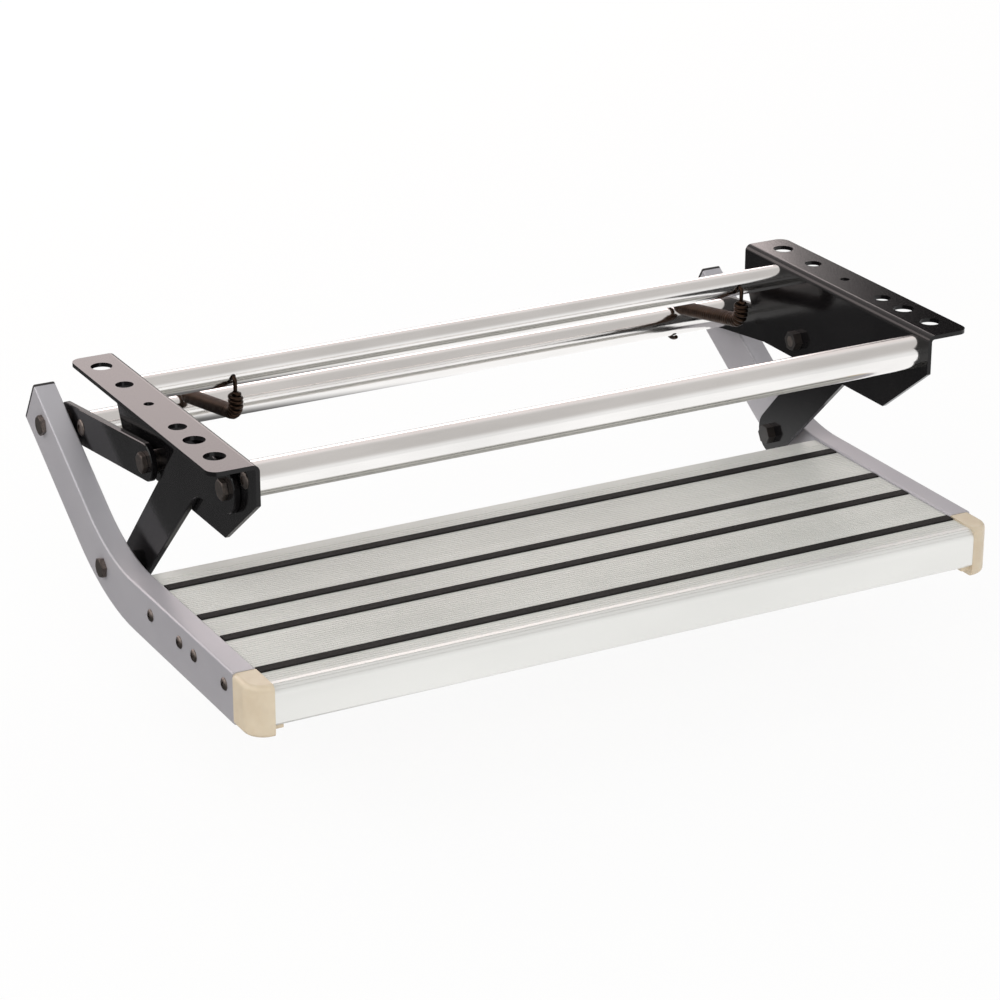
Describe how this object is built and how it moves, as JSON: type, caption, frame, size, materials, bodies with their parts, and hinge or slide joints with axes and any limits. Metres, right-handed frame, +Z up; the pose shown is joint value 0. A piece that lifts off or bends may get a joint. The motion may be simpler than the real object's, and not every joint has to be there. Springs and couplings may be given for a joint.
{
  "type": "folding entry step",
  "caption": "Folding entry step: a ribbed aluminium tread on bent side arms, hung by two pairs of swinging links from a pair of floor brackets with cross tubes and springs.",
  "frame": {"origin": "Middle of the four corner bolt holes, on the upper face of the mounting flanges, half way between the two brackets.", "axes": "X runs along the tread to the right, Y from the nosing to the rear, Z up toward the vehicle floor."},
  "size_m": [0.582, 0.3908, 0.1685],
  "materials": {
    "black_steel": "satin black",
    "bright_aluminium": "bright drawn",
    "anodised_aluminium": "satin anodised",
    "zinc_steel": "zinc plated",
    "black_rubber": "matt",
    "black_plastic": "matt",
    "cream_plastic": "semi-gloss",
    "bronzed_spring_steel": "dark bronze"
  },
  "bodies": {
    "frame": {"right_bracket": "black_steel", "left_bracket": "black_steel", "rear_cross_tube": "bright_aluminium", "front_cross_tube": "bright_aluminium", "rear_tube_plugs": "bright_aluminium", "front_tube_plugs": "bright_aluminium", "cross_tube_bolts": "zinc_steel", "rear_pivot_bolts": "zinc_steel", "front_pivot_bolts": "zinc_steel", "bracket_pivot_nuts": "zinc_steel", "rear_pivot_spacers": "zinc_steel", "front_pivot_washers": "zinc_steel"},
    "rear_links": {"right_rear_link": "black_steel", "left_rear_link": "black_steel", "link_cross_tube": "bright_aluminium", "link_tube_plugs": "bright_aluminium", "link_tube_bolts": "zinc_steel"},
    "front_links": {"right_front_link": "black_steel", "left_front_link": "black_steel", "lower_pivot_nuts": "zinc_steel"},
    "step": {"right_side_arm": "anodised_aluminium", "left_side_arm": "anodised_aluminium", "right_arm_plug": "black_plastic", "left_arm_plug": "black_plastic", "right_corner_cap": "cream_plastic", "left_corner_cap": "cream_plastic", "upper_pivot_bolts": "zinc_steel", "upper_pivot_spacers": "zinc_steel", "upper_pivot_nuts": "zinc_steel", "lower_pivot_bolts": "zinc_steel", "front_tread_plank": "anodised_aluminium", "rear_tread_plank": "anodised_aluminium", "front_nosing": "anodised_aluminium", "rear_edging": "anodised_aluminium", "tread_screws": "zinc_steel", "front_grip_strip": "black_rubber", "front_middle_grip_strip": "black_rubber", "rear_middle_grip_strip": "black_rubber", "rear_grip_strip": "black_rubber"},
    "springs": {"left_spring": "bronzed_spring_steel", "right_spring": "bronzed_spring_steel"},
    "spring_hooks": {"left_spring_hook": "bronzed_spring_steel", "right_spring_hook": "bronzed_spring_steel"}
  },
  "joints": [
    {"name": "step_fold", "type": "hinge", "parent": "frame", "child": "rear_links", "pos_m": [0, 0.043, -0.0535], "axis": [-1, 0, 0], "range_deg": [0, 143.21]},
    {"name": "step_level", "type": "hinge", "parent": "rear_links", "child": "step", "pos_m": [0, 0.18701, -0.07137], "axis": [-1, 0, 0], "range_deg": [-143.31, 0]},
    {"name": "front_link_swing", "type": "hinge", "parent": "frame", "child": "front_links", "pos_m": [0, -0.082, -0.0295], "axis": [-1, 0, 0], "range_deg": [0, 88.48]},
    {"name": "spring_swing", "type": "hinge", "parent": "frame", "child": "springs", "pos_m": [0, 0.074, -0.0125], "axis": [-1, 0, 0], "range_deg": [0, 119.61], "deforming": ["left_spring", "right_spring"]},
    {"name": "spring_hook_swing", "type": "hinge", "parent": "rear_links", "child": "spring_hooks", "pos_m": [0, 0.16012, -0.06803], "axis": [-1, 0, 0], "range_deg": [-23.8, 0]}
  ],
  "couplings": [
    {"joint": "step_level", "follows": "step_fold", "ratio": -1},
    {"joint": "front_link_swing", "follows": "step_fold", "ratio": 0.6171},
    {"joint": "spring_swing", "follows": "step_fold", "ratio": 0.83451},
    {"joint": "spring_hook_swing", "follows": "step_fold", "ratio": -0.1655}
  ]
}
